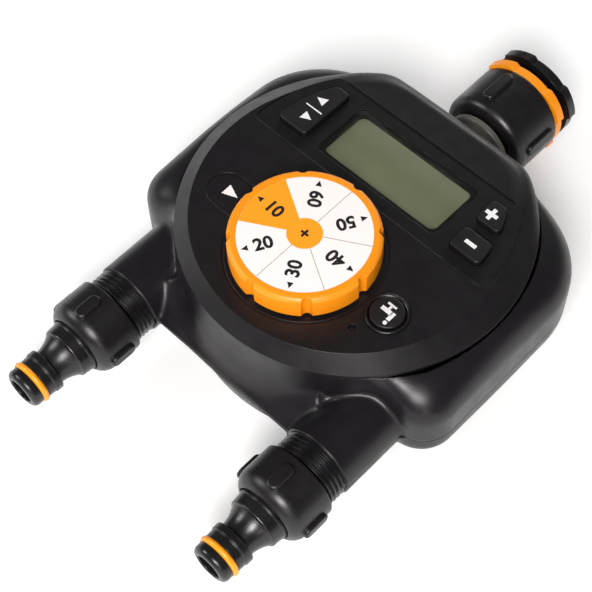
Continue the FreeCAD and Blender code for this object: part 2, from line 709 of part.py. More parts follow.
thread = male_thread(size("pipe_radius"), size("thread_radius"), size("thread_pitch"),
                     size("thread_end_y"), size("web_y"))
for side, x, sign in SIDES:
    inward = "32" if sign > 0 else "-46.04"
    coil_start = "30.4" if sign > 0 else "-46.04"
    body = join(at(thread, x, "0", PIPE),
                rod("sizes.pipe_radius", "100", x, "sizes.web_y", PIPE, "y"),
                rod("11.5", "14.04", inward, "sizes.branch_y", PIPE, "x"),
                rod("8.8", "15.64", coil_start, "sizes.coil_y", PIPE, "x"))
    node(cut(body, rod("sizes.pipe_bore", "108", x, "sizes.thread_end_y - 1", PIPE, "y"),
             rod("sizes.branch_bore", "15", "31" if sign > 0 else "-46", "sizes.branch_y", PIPE, "x"),
             rod("6", "18", "28" if sign > 0 else "-46", "sizes.coil_y", PIPE, "x")),
         side + "_valve_body")
    start = "29" if sign > 0 else "-30.2"
    node(rod("8.6", "1.2", start, "sizes.coil_y", PIPE, "x"), side + "_diaphragm")
    start = "10" if sign > 0 else "-28.8"
    coil = rod("sizes.coil_radius", "18.8", start, "sizes.coil_y", PIPE, "x")
    bore = rod("sizes.coil_bore", "15.5", "14" if sign > 0 else "-29.5", "sizes.coil_y", PIPE, "x")
    node(cut(coil, bore), side + "_solenoid")
    start = "18.6" if sign > 0 else "-28.6"
    node(rod("sizes.armature_radius", "10.0", start, "sizes.coil_y", PIPE, "x"), side + "_plunger")
    helix = Part.makeHelix(1.1, 4.0, 2.2)
    wire = Part.Wire([Part.makeCircle(0.3, V(2.2, 0, 0), V(0, 1, 0))])
    coil_wire = Part.Wire(helix).makePipeShell([wire], True, True)
    coil_wire.rotate(V(), V(0, 1, 0), 90)
    node(at(coil_wire, "14.3" if sign > 0 else "-18.3", "sizes.coil_y", PIPE), side + "_plunger_spring")

# ---------------------------------------------------------------- hose connectors

nut = size("nut_radius")
back = size("nut_back_y")
front = size("nut_front_y")
throat = size("nut_throat")
bore = size("nut_bore")
neck = size("nose_neck")
flange = size("nose_flange")
barrel = size("nose_barrel")
tip = size("nose_tip_y")
hole = size("nose_bore")
collar = size("collar_radius")
groove = size("oring_y")
NUT = [(bore, back), (nut - 0.7, back), (nut - 0.2, back - 0.2, nut, back - 0.7), (nut, front + 5.6),
       (nut - 0.9, front + 2.2, nut - 3.4, front), (throat, front), (throat, front + 3.4), (bore, front + 3.4)]
NOSE = [(hole, front + 6.3), (12.9, front + 6.3), (12.9, front + 3.8), (10.5, front + 3.8), (10.5, front - 0.9),
        (collar + 0.1, front - 1.3), (collar - 0.2, front - 4.6),
        (collar - 0.35, front - 5.2, collar - 1.0, front - 5.6),
        (neck + 0.9, front - 8.3, neck, front - 12.6),
        (flange - 0.5, front - 12.9), (flange, front - 13.3, flange, front - 13.7),
        (flange, front - 15.6), (barrel + 0.1, front - 16.2), (barrel, groove + 1.3), (5.95, groove + 1.3),
        (5.95, groove - 1.3), (barrel - 0.15, groove - 1.3), (barrel - 0.15, tip + 2.2),
        (barrel - 0.75, tip + 0.6, barrel - 2.1, tip), (hole + 0.3, tip), (hole, tip + 0.4)]
for side, x, sign in SIDES:
    ribs = [at(rib, x, "0", PIPE) for rib in grip_ribs(nut, 1.4, 4.8, front + 3.2, front + 13.8)]
    node(cut(join(turned(NUT, x, "0", PIPE), *ribs),
             rod("sizes.nut_bore", "13.6", x, "sizes.nut_front_y + 3.4", PIPE, "y")), side + "_connector_nut")
    node(turned(NOSE, x, "0", PIPE), side + "_hose_nose")
    node(hoop("sizes.oring_radius - 1.2", "1.2", x, "sizes.oring_y", PIPE, "y"), side + "_nose_oring")
    node(cut(rod("12.9", "2.9", x, "sizes.nut_front_y + 6.4", PIPE, "y"),
             rod("8", "4", x, "sizes.nut_front_y + 6", PIPE, "y")), side + "_connector_washer")

# ---------------------------------------------------------------- inlet

start = size("inlet_nut_y")
end = start + size("inlet_nut_length")
wide = size("inlet_nut_radius")
inner = size("inlet_nut_bore")
INLET_NUT = [(inner, end), (inner, start + 3.4), (11.0, start + 3.4), (11.0, start), (wide - 4.0, start),
             (wide - 1.1, start + 1.3, wide - 0.1, start + 4.2), (wide, start + 6.0), (wide, end - 0.7),
             (wide - 0.2, end - 0.2, wide - 0.7, end)]
ribs = [at(rib, "0", "0", PIPE) for rib in grip_ribs(wide, 1.2, 5.0, start + 4.8, end - 2.4, 4, -12.0)]
node(cut(join(turned(INLET_NUT, "0", "0", PIPE), *ribs),
         rod("sizes.inlet_nut_bore", "18.6", "0", "sizes.inlet_nut_y + 3.4", PIPE, "y")), "inlet_union_nut")
shank = size("spigot_radius")
node(turned([(size("spigot_bore"), 52), (shank, 52), (shank, 75.0), (13.0, 75.3), (13.2, 75.6), (13.2, 77.2),
             (12.9, 77.5), (shank, 77.5), (shank, 81.9), (15.0, 81.9), (15.0, 84.4), (size("spigot_bore"), 84.4)],
            "0", "0", PIPE), "inlet_spigot")
node(turned([(8.0, 84.45), (8.0, 70.6), (0, 69.6), (0, 69.0), (8.5, 69.8), (8.5, 84.45),
             (8.6, 85.1), (8.0, 85.1)], "0", "0", PIPE), "inlet_filter")
node(turned([(9.0, 84.5), (15.0, 84.5), (15.0, 87.4), (9.0, 87.4)], "0", "0", PIPE), "union_washer")

ring_y = size("big_ring_y")
big_thread = male_thread(size("big_thread_core"), size("big_thread"), size("big_thread_pitch"),
                         87.6, ring_y)
big_ring = lobed_ring(size("big_ring_radius"), ring_y, size("big_ring_thick"), 13.4, size("big_ring_turn"))
node(cut(join(at(big_thread, "0", "0", PIPE), at(big_ring, "0", "0", PIPE)),
         rod("13.4", "13.5", "0", "91", PIPE, "y"), rod("9", "6", "0", "87", PIPE, "y")), "large_adapter")
node(turned([(9.0, 91.1), (13.1, 91.1), (13.1, 93.6), (9.0, 93.6)], "0", "0", PIPE), "adapter_washer")
ring_y = size("small_ring_y")
small_thread = male_thread(size("pipe_radius"), size("thread_radius"), size("thread_pitch"), 93.7, 105.0)
small_ring = lobed_ring(size("small_ring_radius"), ring_y, size("small_ring_thick"), 9.3, size("small_ring_turn"))
node(cut(join(at(small_thread, "0", "0", PIPE), at(small_ring, "0", "0", PIPE),
              rod("13.3", "sizes.small_ring_y - 103", "0", "103.6", PIPE, "y")),
         rod("sizes.tap_thread_bore", "18", "0", "98", PIPE, "y"), rod("9.8", "2.6", "0", "95.9", PIPE, "y"),
         rod("7", "4", "0", "93", PIPE, "y")), "small_adapter")
node(turned([(6.5, 96.05), (9.5, 96.05), (9.5, 98.35), (6.5, 98.35)], "0", "0", PIPE), "tap_washer")

# ---------------------------------------------------------------- check and write

doc.recompute()
failed = [obj.Label for obj in doc.Objects if "Invalid" in obj.State or "Error" in obj.State]
if failed:
    raise SystemExit("these objects did not compute: %s" % failed)
for obj in NODES:
    if obj.Shape.isNull() or not obj.Shape.isValid():
        raise SystemExit("%s has no valid shape" % obj.Label)

os.makedirs("parts", exist_ok=True)
for obj in NODES:
    obj.Shape.exportStep("parts/%s.step" % obj.Label)
print("wrote %d sub-parts" % len(NODES))
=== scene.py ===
import json
import math

import bmesh
import bpy
import numpy as np
from mathutils import Matrix, Vector


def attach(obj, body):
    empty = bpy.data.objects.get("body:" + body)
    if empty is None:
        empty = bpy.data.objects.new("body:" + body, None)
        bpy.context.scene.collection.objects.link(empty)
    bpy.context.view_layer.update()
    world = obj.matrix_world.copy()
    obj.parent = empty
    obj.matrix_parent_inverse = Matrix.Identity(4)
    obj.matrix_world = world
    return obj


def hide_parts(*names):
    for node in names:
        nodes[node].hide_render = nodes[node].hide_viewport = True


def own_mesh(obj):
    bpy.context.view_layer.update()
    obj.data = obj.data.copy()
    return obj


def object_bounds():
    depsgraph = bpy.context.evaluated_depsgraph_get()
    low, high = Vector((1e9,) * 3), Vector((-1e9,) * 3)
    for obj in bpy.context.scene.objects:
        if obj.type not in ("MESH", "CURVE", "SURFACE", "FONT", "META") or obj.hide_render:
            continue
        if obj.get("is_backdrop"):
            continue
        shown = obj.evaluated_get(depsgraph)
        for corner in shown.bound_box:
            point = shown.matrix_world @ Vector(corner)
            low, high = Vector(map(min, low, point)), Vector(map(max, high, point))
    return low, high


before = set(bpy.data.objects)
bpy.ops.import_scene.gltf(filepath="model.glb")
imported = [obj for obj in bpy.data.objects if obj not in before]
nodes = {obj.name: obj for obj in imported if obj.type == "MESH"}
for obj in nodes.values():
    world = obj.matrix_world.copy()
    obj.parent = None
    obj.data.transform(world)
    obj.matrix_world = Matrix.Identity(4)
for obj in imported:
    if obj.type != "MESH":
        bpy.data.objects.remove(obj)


def plain_bounds():
    return json.loads(json.dumps([[float(v) for v in corner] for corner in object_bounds()]))


BOUNDS_START = plain_bounds()
MM = 0.001

# ---------------------------------------------------------------- sizes, in millimetres

PIPE_Z = 26.8
SEAM_GAP = 0.15
DIAL_Y = -17.2
LABEL_R = 22.9
HUB_R = 6.1
OUTLET_X = 46.04
TUBE_R = 13.85
WEB_Y = -60.2
# Each cut circle is its centre's y, its radius, the y of its flat top and the radius of its top corners.
CREASE = (8.1, 63.1, 62.8, 14.0)
FACE = (5.3, 55.8, 56.8, 22.0)

# ---------------------------------------------------------------- materials

DRIFT_SCALE = 45.0
GLOSS_SCALE = 160.0
GRAIN_HEIGHT = 0.00012

def new_material(name):
    mat = bpy.data.materials.new(name)
    mat.use_nodes = True
    tree = mat.node_tree
    shader = tree.nodes["Principled BSDF"]
    coords = tree.nodes.new("ShaderNodeTexCoord")
    return mat, tree, shader, coords


def noise(tree, coords, scale, detail=3.0, rough=0.55):
    tex = tree.nodes.new("ShaderNodeTexNoise")
    tex.inputs["Scale"].default_value = scale
    tex.inputs["Detail"].default_value = detail
    tex.inputs["Roughness"].default_value = rough
    tree.links.new(coords.outputs["Object"], tex.inputs["Vector"])
    return tex


def remap(tree, source, low, high):
    node = tree.nodes.new("ShaderNodeMapRange")
    node.inputs["To Min"].default_value = low
    node.inputs["To Max"].default_value = high
    node.inputs["From Min"].default_value = 0.3
    node.inputs["From Max"].default_value = 0.7
    tree.links.new(source, node.inputs["Value"])
    return node.outputs["Result"]


def moulded(name, colour, rough, spread=0.05, grain=1400.0, depth=0.15, drift=0.08, edge=0.0, ior=1.5):
    """Moulded plastic or rubber: colour that drifts a little, uneven gloss and a fine surface grain."""
    mat, tree, shader, coords = new_material(name)
    wide = noise(tree, coords, DRIFT_SCALE)
    mix = tree.nodes.new("ShaderNodeMix")
    mix.data_type = "RGBA"
    dark = [c * (1.0 - drift) for c in colour]
    light = [min(1.0, c * (1.0 + drift)) for c in colour]
    # On a colour mix, sockets 6 and 7 are the two colours, 0 is the factor and output 2 is the result.
    mix.inputs[6].default_value = (*dark, 1.0)
    mix.inputs[7].default_value = (*light, 1.0)
    tree.links.new(wide.outputs["Fac"], mix.inputs[0])
    tree.links.new(mix.outputs[2], shader.inputs["Base Color"])
    patch = noise(tree, coords, GLOSS_SCALE)
    gloss = remap(tree, patch.outputs["Fac"], rough - spread, rough + spread)
    tree.links.new(gloss, shader.inputs["Roughness"])
    fine = noise(tree, coords, grain, 2.0)
    bump = tree.nodes.new("ShaderNodeBump")
    bump.inputs["Strength"].default_value = depth
    bump.inputs["Distance"].default_value = GRAIN_HEIGHT
    tree.links.new(fine.outputs["Fac"], bump.inputs["Height"])
    if edge > 0.0:
        bevel = tree.nodes.new("ShaderNodeBevel")
        bevel.samples = 6
        bevel.inputs["Radius"].default_value = edge * MM
        tree.links.new(bevel.outputs["Normal"], bump.inputs["Normal"])
    tree.links.new(bump.outputs["Normal"], shader.inputs["Normal"])
    shader.inputs["IOR"].default_value = ior
    return mat


def metal(name, colour, rough):
    mat = moulded(name, colour, rough, 0.08, 900.0, 0.1)
    mat.node_tree.nodes["Principled BSDF"].inputs["Metallic"].default_value = 1.0
    return mat


def clear(name, tint):
    mat = moulded(name, tint, 0.05, 0.01, 600.0, 0.01)
    shader = mat.node_tree.nodes["Principled BSDF"]
    shader.inputs["Transmission Weight"].default_value = 1.0
    shader.inputs["IOR"].default_value = 1.3
    return mat


BLACK = (0.0075, 0.0062, 0.0078)
CASE = moulded("case_plastic", BLACK, 0.36, 0.05, 1500.0, 0.20, edge=0.35, ior=1.42)
CAP = moulded("cap_plastic", (0.0070, 0.0060, 0.0072), 0.40, 0.05, 1700.0, 0.22, edge=0.4, ior=1.42)
PANEL = moulded("panel_plastic", (0.0055, 0.0047, 0.0057), 0.42, 0.05, 1200.0, 0.10, edge=0.2, ior=1.42)
KEYS = moulded("key_rubber", (0.0055, 0.0048, 0.0055), 0.46, 0.05, 1200.0, 0.15, edge=0.4)
VALVE = moulded("valve_plastic", (0.0055, 0.0048, 0.0055), 0.30, 0.06, 1500.0, 0.25, edge=0.3)
NUT = moulded("nut_plastic", (0.0060, 0.0050, 0.0058), 0.36, 0.06, 1600.0, 0.30, edge=0.35)
ORANGE = moulded("dial_orange", (1.0, 0.30, 0.004), 0.38, 0.04, 900.0, 0.08, 0.04, edge=0.35)
THREAD_ORANGE = moulded("adapter_orange", (1.0, 0.31, 0.004), 0.40, 0.04, 900.0, 0.08, 0.04, edge=0.4)
RING_ORANGE = moulded("ring_orange", (1.0, 0.35, 0.006), 0.36, 0.04, 900.0, 0.05, 0.04)
WHITE = moulded("label_white", (0.94, 0.88, 0.86), 0.42, 0.03, 700.0, 0.03, 0.015)
LABEL_ORANGE = moulded("label_orange", (0.98, 0.355, 0.012), 0.42, 0.03, 700.0, 0.03, 0.02)
INK = moulded("label_ink", (0.010, 0.008, 0.010), 0.45, 0.03, 700.0, 0.03)
LINE = moulded("label_line", (0.33, 0.29, 0.22), 0.45, 0.03, 700.0, 0.03)
GLYPH = moulded("key_white", (0.85, 0.84, 0.84), 0.45, 0.04, 900.0, 0.05, 0.03)
GREY = moulded("spigot_grey", (0.20, 0.195, 0.175), 0.34, 0.05, 1200.0, 0.12)
RING = moulded("tap_ring", (0.0055, 0.0048, 0.0055), 0.33, 0.05, 1200.0, 0.10, edge=0.3)
RUBBER = moulded("seal_rubber", (0.010, 0.010, 0.010), 0.6, 0.05, 1000.0, 0.3)
INNER = moulded("inner_plastic", (0.55, 0.55, 0.52), 0.45, 0.05, 900.0, 0.1)
BOARD = moulded("circuit_green", (0.010, 0.10, 0.035), 0.35, 0.05, 1500.0, 0.2)
JACKET = moulded("cell_jacket", (0.08, 0.09, 0.11), 0.35, 0.05, 900.0, 0.05)
STEEL = metal("plated_steel", (0.62, 0.61, 0.60), 0.30)
LENS = clear("window", (0.93, 0.95, 0.90))


def lcd_material():
    """The unlit display: grey green, with painted shade: darker in a soft band across its middle and
    lighter towards its top edge.
    """
    mat, tree, shader, coords = new_material("lcd")
    split = tree.nodes.new("ShaderNodeSeparateXYZ")
    tree.links.new(coords.outputs["Object"], split.inputs["Vector"])
    ramp = tree.nodes.new("ShaderNodeValToRGB")
    place = tree.nodes.new("ShaderNodeMapRange")
    place.inputs["From Min"].default_value = 0.017
    place.inputs["From Max"].default_value = 0.042
    tree.links.new(split.outputs["Y"], place.inputs["Value"])
    tree.links.new(place.outputs["Result"], ramp.inputs["Fac"])
    # Painted shade: the stops darken a soft band across the middle of the display and lighten its top edge.
    stops = ramp.color_ramp.elements
    stops[0].position = 0.0
    stops[0].color = (0.305, 0.322, 0.205, 1.0)
    stops[1].position = 1.0
    stops[1].color = (0.345, 0.357, 0.255, 1.0)
    middle = stops.new(0.52)
    middle.color = (0.260, 0.278, 0.172, 1.0)
    speck = noise(tree, coords, 2200.0)
    tree.links.new(ramp.outputs["Color"], shader.inputs["Base Color"])
    tree.links.new(remap(tree, speck.outputs["Fac"], 0.30, 0.40), shader.inputs["Roughness"])
    return mat


LCD = lcd_material()


def paint(obj, mat):
    obj.data.materials.clear()
    obj.data.materials.append(mat)


PAINTS = {
    "front_cap": CAP, "control_panel": PANEL, "lcd_lens": LENS, "lcd_frame": PANEL, "lcd_glass": LCD,
    "lcd_backlight": INNER, "lr_button": KEYS, "plus_button": KEYS, "minus_button": KEYS,
    "manual_button_ring": RING, "manual_button": KEYS, "reset_plunger": KEYS, "circuit_board": BOARD,
    "board_screws": STEEL, "key_switches": PANEL, "dial_knob": ORANGE, "dial_label": WHITE,
    "dial_shaft": INNER, "dial_seal": RUBBER, "rotary_switch": PANEL, "front_housing": CASE,
    "rear_housing": CASE, "housing_screws": STEEL, "housing_gasket": RUBBER, "battery_box": INNER,
    "batteries": JACKET, "battery_contacts": STEEL, "battery_cover": CASE, "battery_gasket": RUBBER,
    "inlet_manifold": INNER, "inlet_union_nut": NUT, "inlet_spigot": GREY, "inlet_filter": INNER,
    "union_washer": RUBBER, "large_adapter": THREAD_ORANGE, "adapter_washer": RUBBER,
    "small_adapter": VALVE, "tap_washer": RUBBER,
}
for side in ("left", "right"):
    PAINTS[side + "_valve_body"] = VALVE
    PAINTS[side + "_diaphragm"] = RUBBER
    PAINTS[side + "_solenoid"] = JACKET
    PAINTS[side + "_plunger"] = STEEL
    PAINTS[side + "_plunger_spring"] = STEEL
    PAINTS[side + "_connector_nut"] = NUT
    PAINTS[side + "_hose_nose"] = VALVE
    PAINTS[side + "_nose_oring"] = RING_ORANGE
    PAINTS[side + "_connector_washer"] = RUBBER
for name, obj in nodes.items():
    paint(obj, PAINTS[name])

# ---------------------------------------------------------------- mesh helpers


def smooth(obj, degrees=32.0):
    for face in obj.data.polygons:
        face.use_smooth = True
    obj.data.set_sharp_from_angle(angle=math.radians(degrees))


def piece(name, bm, mat, body, replaces=()):
    """A finished piece in metres from a bmesh in millimetres, riding on a CAD body."""
    bmesh.ops.scale(bm, vec=(MM, MM, MM), verts=bm.verts)
    mesh = bpy.data.meshes.new(name)
    bm.to_mesh(mesh)
    bm.free()
    obj = bpy.data.objects.new(name, mesh)
    bpy.context.scene.collection.objects.link(obj)
    paint(obj, mat)
    smooth(obj)
    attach(obj, body)
    if replaces:
        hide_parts(*replaces)
    return obj


def add_prism(bm, points, low, high):
    """A closed upright plate with this outline."""
    bottom = [bm.verts.new((x, y, low)) for x, y in points]
    top = [bm.verts.new((x, y, high)) for x, y in points]
    bm.faces.new(list(reversed(bottom)))
    bm.faces.new(top)
    count = len(points)
    for i in range(count):
        j = (i + 1) % count
        bm.faces.new((bottom[i], bottom[j], top[j], top[i]))


# ---------------------------------------------------------------- housing surface


def cut_circle(x, y, centre_y, radius, top, corner):
    """Signed distance to a circle about (0, centre_y) cut flat at y = top with rounded corners."""
    r = radius - corner
    t = top - corner
    corner_x = math.sqrt(r * r - (t - centre_y) ** 2)
    ax = np.abs(x)
    px = ax - corner_x
    py = y - t
    nx = corner_x / r
    ny = (t - centre_y) / r
    in_corner = (px >= 0) & (nx * py - ny * px >= 0)
    sides = np.maximum(np.hypot(x, y - centre_y) - r, py)
    return np.where(in_corner, np.hypot(px, py), sides) - corner


def round_box(x, y, half, low, high, top_r, low_r):
    """Signed distance to a box |x| < half, low < y < high, with top and bottom corner radii."""
    middle = (low + high) / 2
    r = np.where(y > middle, top_r, low_r)
    qx = np.abs(x) - half + r
    qy = np.abs(y - middle) - (high - low) / 2 + r
    return np.hypot(np.maximum(qx, 0), np.maximum(qy, 0)) + np.minimum(np.maximum(qx, qy), 0) - r


def blend_min(a, b, k):
    h = np.clip(0.5 + 0.5 * (b - a) / k, 0, 1)
    return b + (a - b) * h - k * h * (1 - h)


def curve(z, knots):
    """Smooth value against height through (height, value) knots."""
    zs = np.array([k[0] for k in knots], float)
    vs = np.array([k[1] for k in knots], float)
    slopes = np.gradient(vs, zs)
    z = np.clip(z, zs[0], zs[-1])
    i = np.clip(np.searchsorted(zs, z) - 1, 0, len(zs) - 2)
    h = zs[i + 1] - zs[i]
    t = (z - zs[i]) / h
    a = vs[i] * (2 * t**3 - 3 * t**2 + 1) + vs[i + 1] * (3 * t**2 - 2 * t**3)
    return a + h * (slopes[i] * (t**3 - 2 * t**2 + t) + slopes[i + 1] * (t**3 - t**2))


# Pairs of (height, radius) for the round drum, and (height, inset) for the web between the outlet tubes.
DRUM_KNOTS = [(0, 56.0), (1.2, 59.2), (3.5, 61.4), (8, 62.8), (15, 63.2), (21, 64.4), (26.8, 67.0),
              (32, 65.6), (40, 63.6), (46, 62.9), (52, 62.7)]
WEB_KNOTS = [(10, 16.0), (20, 7.0), (24, 2.6), (26.8, 0.0), (30, 2.8), (35, 7.5), (42, 15.0), (52, 26.0)]
SHOULDER_Z = 37.0
CAP_SEAM_Z = 50.3
FLANK_Z = 23.0
DRUM_FOOT_Z = 6.0
TUBE_FILLET = 2.0
TUBE_START_Y = -20.0
DRUM_TOP_Y = 62.4
# Each box is its half width, lowest y, highest y, top corner radius and bottom corner radius.
SIDES = (71.0, -34.2, 61.2, 31.0, 13.0)
WEB = (46.0, -59.6, 10.0, 5.0, 3.0)
SIDE_CROWN = 0.0012
CROWN_Z = 29.0


def share(z):
    """How far the outline has gone from the round drum (0) to the wide case (1) at a height."""
    above = np.clip((z - SHOULDER_Z) / (CAP_SEAM_Z - SHOULDER_Z), 0, 1)
    below = np.clip((FLANK_Z - z) / (FLANK_Z - DRUM_FOOT_Z), 0, 1)
    return (1 - above**2.2) ** 0.62 * (1 - below**2.0)


def housing(x, y, z):
    """About the distance to the outside of the closed case, in millimetres. Negative inside."""
    drum = cut_circle(x, y, *CREASE) - (curve(z, DRUM_KNOTS) - CREASE[1])
    drum = np.maximum(drum, y - DRUM_TOP_Y)
    wide = round_box(x, y, *SIDES) + SIDE_CROWN * (z - CROWN_Z) ** 2
    part = share(z)
    sides = drum * (1 - part) + wide * part
    body = blend_min(drum, sides, 0.4 + 4.0 * part)
    web = round_box(x, y, *WEB) + curve(z, WEB_KNOTS)
    body = blend_min(body, web, 3.0)
    tube = np.maximum(np.hypot(np.abs(x) - OUTLET_X, z - PIPE_Z) - TUBE_R, y - TUBE_START_Y)
    return np.maximum(blend_min(body, tube, TUBE_FILLET), -z)


def skin(field, low, high, step):
    """Closed quad mesh of the surface where field is zero, by surface nets, then pulled onto it."""
    axes = [np.arange(a, b + step, step) for a, b in zip(low, high)]
    grid = np.stack(np.meshgrid(*axes, indexing="ij"), -1)
    value = field(grid[..., 0], grid[..., 1], grid[..., 2])
    inside = value < 0
    shape = np.array(inside.shape) - 1
    total = np.zeros((*shape, 3))
    count = np.zeros(tuple(shape))
    offsets = [(i, j, k) for i in (0, 1) for j in (0, 1) for k in (0, 1)]
    for axis in range(3):
        for corner in offsets:
            if corner[axis] == 1:
                continue
            far = list(corner)
            far[axis] = 1
            near_cut = tuple(slice(c, c + n) for c, n in zip(corner, shape))
            far_cut = tuple(slice(c, c + n) for c, n in zip(far, shape))
            a = value[near_cut]
            b = value[far_cut]
            crossed = (a < 0) != (b < 0)
            t = np.where(crossed, a / np.where(crossed, a - b, 1.0), 0.0)
            point = grid[near_cut] + (grid[far_cut] - grid[near_cut]) * t[..., None]
            total += np.where(crossed[..., None], point, 0.0)
            count += crossed
    cells = count > 0
    index = -np.ones(tuple(shape), int)
    index[cells] = np.arange(cells.sum())
    points = total[cells] / count[cells][:, None]
    quads = []
    for axis in range(3):
        u, v = [(1, 2), (2, 0), (0, 1)][axis]
        here = [slice(1, n) for n in shape]
        here[axis] = slice(0, shape[axis])
        there = list(here)
        there[axis] = slice(1, shape[axis] + 1)
        a = inside[tuple(here)]
        b = inside[tuple(there)]
        where = np.argwhere(a != b)
        base = where + np.array([0 if i == axis else 1 for i in range(3)])
        flip = a[a != b]
        ring = []
        for du, dv in ((1, 1), (0, 1), (0, 0), (1, 0)):
            cell = base.copy()
            cell[:, u] -= du
            cell[:, v] -= dv
            ring.append(index[tuple(cell.T)])
        ring = np.stack(ring, 1)
        ring[~flip] = ring[~flip][:, ::-1]
        quads.append(ring)
    quads = np.concatenate(quads)
    for _ in range(3):
        points = points - pull(field, points)
    return points, quads


def pull(field, p):
    """The step that carries each point to the surface."""
    h = 0.05
    value = field(p[:, 0], p[:, 1], p[:, 2])
    slope = np.zeros_like(p)
    for axis in range(3):
        shift = np.zeros(3)
        shift[axis] = h
        a = field(*(p + shift).T)
        b = field(*(p - shift).T)
        slope[:, axis] = (a - b) / (2 * h)
    size = np.maximum((slope**2).sum(1), 0.2)
    step = slope * (value / size)[:, None]
    return np.clip(step, -0.8, 0.8)


def as_bmesh(points, quads):
    mesh = bpy.data.meshes.new("skin")
    mesh.from_pydata(points.tolist(), [], quads.tolist())
    bm = bmesh.new()
    bm.from_mesh(mesh)
    bpy.data.meshes.remove(mesh)
    return bm


def trim(bm, point, outward):
    """Cut away what lies beyond a plane, leaving the cut open."""
    geom = bm.verts[:] + bm.edges[:] + bm.faces[:]
    bmesh.ops.bisect_plane(bm, geom=geom, plane_co=point, plane_no=outward, clear_outer=True, dist=1e-4)


def open_hole(bm, keep, centre, radius, plane):
    """Open a round hole in an open skin where keep(co) is true, its rim drawn to a true circle."""
    i, j = plane

    def reach(co):
        return math.hypot(co[i] - centre[0], co[j] - centre[1])

    doomed = []
    for face in bm.faces:
        middle = face.calc_center_median()
        if keep(middle) and reach(middle) < radius:
            doomed.append(face)
    kept = set(bm.faces) - set(doomed)
    rim = [v for v in {v for f in doomed for v in f.verts} if any(f in kept for f in v.link_faces)]
    bmesh.ops.delete(bm, geom=doomed, context="FACES")
    for vert in rim:
        scale = radius / reach(vert.co)
        vert.co[i] = centre[0] + (vert.co[i] - centre[0]) * scale
        vert.co[j] = centre[1] + (vert.co[j] - centre[1]) * scale


def cut_line(bm, keep, point, direction):
    """Add an edge loop where a plane crosses the faces for which keep(co) is true."""
    faces = [f for f in bm.faces if keep(f.calc_center_median())]
    edges = {e for f in faces for e in f.edges}
    verts = {v for f in faces for v in f.verts}
    geom = list(verts) + list(edges) + faces
    bmesh.ops.bisect_plane(bm, geom=geom, plane_co=point, plane_no=direction, dist=1e-4)


def open_box(bm, keep, low, high):
    for point, direction in ((low, (1, 0, 0)), (high, (1, 0, 0)), (low, (0, 1, 0)), (high, (0, 1, 0))):
        cut_line(bm, keep, (point[0], point[1], 0), direction)
    doomed = []
    for face in bm.faces:
        middle = face.calc_center_median()
        if keep(middle) and low[0] < middle.x < high[0] and low[1] < middle.y < high[1]:
            doomed.append(face)
    bmesh.ops.delete(bm, geom=doomed, context="FACES")


def on_back(co):
    return co.z < 0.6


def on_inlet_side(co):
    return co.y > 40


def shell(name, points, quads, low, high, replaces):
    """Half of the case between two heights, with its holes and a wall of its own."""
    bm = as_bmesh(points, quads)
    trim(bm, (0, 0, high), (0, 0, 1))
    trim(bm, (0, 0, low), (0, 0, -1))
    trim(bm, (0, WEB_Y, 0), (0, -1, 0))
    open_hole(bm, on_inlet_side, (0, PIPE_Z), INLET_HOLE_R, (0, 2))
    if low < 1:
        open_box(bm, on_back, (-BAY_X, BAY_Y - BAY_DEEP), (BAY_X, BAY_Y + BAY_DEEP))
        for x, y in SCREWS:
            open_hole(bm, on_back, (x, y), SCREW_HOLE_R, (0, 1))
    obj = piece(name, bm, CASE, "case", replaces)
    thick = obj.modifiers.new("wall", "SOLIDIFY")
    thick.thickness = SHELL_WALL * MM
    thick.offset = -1.0
    thick.use_even_offset = False


INLET_HOLE_R = 13.4
SCREW_HOLE_R = 2.9
SHELL_WALL = 1.15
FRONT_TOP_Z = 50.15
BELOW_BACK = -1.0
BAY_X = 30.8
BAY_Y = -17.0
BAY_DEEP = 17.3
SCREWS = [(32, 50), (-32, 50), (16, -45.5), (-16, -45.5)]
STEP = 1.0
points, quads = skin(housing, (-73.5, -64.0, -2.0), (73.5, 64.0, 53.0), STEP)
shell("front_shell", points, quads, PIPE_Z + SEAM_GAP, FRONT_TOP_Z, ("front_housing",))
shell("rear_shell", points, quads, BELOW_BACK, PIPE_Z - SEAM_GAP, ("rear_housing",))

# ---------------------------------------------------------------- front cap

CAP_POINTS = 256
CAP_MIDDLE = 7.0
WALL = 2.4
CAP_FOOT_Z = 50.4
CAP_EDGE_Z = 50.6
CREASE_Z = 52.0
CAP_RISE = 6.0
INNER_EDGE_Z = 51.4
INNER_FACE_Z = 55.6


def outline(shape, inset=0.0):
    """Points where rays from the middle of the cap meet a cut circle drawn in by inset."""
    angle = np.linspace(0, 2 * math.pi, CAP_POINTS, endpoint=False)
    near = np.zeros(CAP_POINTS)
    far = np.full(CAP_POINTS, 90.0)
    for _ in range(40):
        middle = (near + far) / 2
        away = cut_circle(middle * np.cos(angle), CAP_MIDDLE + middle * np.sin(angle), *shape) + inset
        near = np.where(away < 0, middle, near)
        far = np.where(away < 0, far, middle)
    return np.stack([near * np.cos(angle), CAP_MIDDLE + near * np.sin(angle)], 1)


def ring_of(bm, flat, heights):
    return [bm.verts.new((p[0], p[1], h)) for p, h in zip(flat, np.broadcast_to(heights, len(flat)))]


def bridge(bm, lower, upper, outward=True):
    count = len(lower)
    for i in range(count):
        j = (i + 1) % count
        corners = (lower[i], lower[j], upper[j], upper[i])
        bm.faces.new(corners if outward else corners[::-1])


